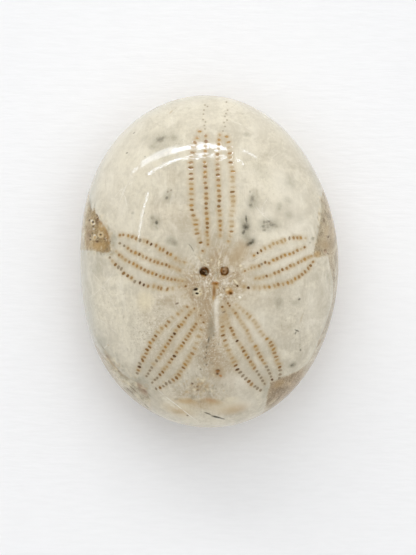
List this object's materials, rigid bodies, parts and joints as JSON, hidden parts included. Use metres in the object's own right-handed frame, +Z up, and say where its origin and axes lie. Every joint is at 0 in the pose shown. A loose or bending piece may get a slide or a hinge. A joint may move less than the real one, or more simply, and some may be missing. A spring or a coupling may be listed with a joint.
{
  "type": "polished fossil sand dollar",
  "caption": "Domed oval fossil sand dollar turned to stone, hand-polished, with a five-petal flower of pore rows on top and a flat hollowed underside to rest on.",
  "frame": {"origin": "middle of the footprint's box, on the plane of the flat that the fossil rests on", "axes": "+Z up out of the dome, +Y along the length towards the front end, where the single long petal points, +X to the right seen from above with the front end up"},
  "size_m": [0.0388, 0.05, 0.0215],
  "materials": {
    "polished_stone": "hand-polished cream to grey calcite, glossy, with brown matrix patches"
  },
  "bodies": {
    "root": {"fossil_sand_dollar": "polished_stone"}
  },
  "joints": []
}
